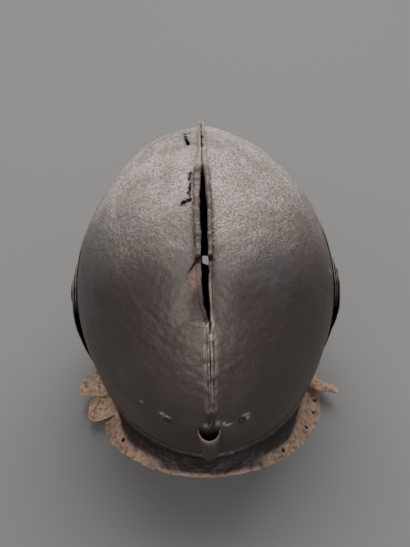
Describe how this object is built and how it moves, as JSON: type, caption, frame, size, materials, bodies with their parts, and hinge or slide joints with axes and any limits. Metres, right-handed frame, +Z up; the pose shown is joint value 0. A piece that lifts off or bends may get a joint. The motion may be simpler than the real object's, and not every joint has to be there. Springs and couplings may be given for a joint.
{
  "type": "armet",
  "caption": "Corroded steel armet with a two-part skull and split comb, visor, ventail and bevor on side pivots, and a flared neck flange.",
  "frame": {"origin": "on the surface that the armet stands on, under the middle of its bounding box", "axes": "+Z up, +Y towards the face, +X to the wearer's right seen from behind; the pivot axis runs along X"},
  "size_m": [0.2148, 0.2718, 0.2498],
  "materials": {
    "skull_steel": "worn, pitted grey-brown steel with a dull sheen",
    "plate_steel": "dark, pitted steel",
    "rusty_steel": "brown rusted steel, rough"
  },
  "bodies": {
    "skull": {"skull_left": "skull_steel", "skull_right": "skull_steel", "gorget_rear": "rusty_steel", "plume_socket": "skull_steel", "pivot_left": "plate_steel", "pivot_right": "plate_steel", "rivet_left": "rusty_steel", "rivet_right": "rusty_steel"},
    "visor": {"visor": "plate_steel"},
    "ventail": {"ventail": "plate_steel"},
    "bevor": {"bevor": "plate_steel", "gorget_front": "rusty_steel"}
  },
  "joints": [
    {"name": "visor_lift", "type": "hinge", "parent": "skull", "child": "visor", "pos_m": [0, -0.00138, 0.119], "axis": [1, 0, 0], "range_deg": [0, 55]},
    {"name": "ventail_lift", "type": "hinge", "parent": "skull", "child": "ventail", "pos_m": [0, -0.00138, 0.119], "axis": [1, 0, 0], "range_deg": [0, 45]},
    {"name": "bevor_lift", "type": "hinge", "parent": "skull", "child": "bevor", "pos_m": [0, -0.00138, 0.119], "axis": [1, 0, 0], "range_deg": [0, 60]}
  ]
}
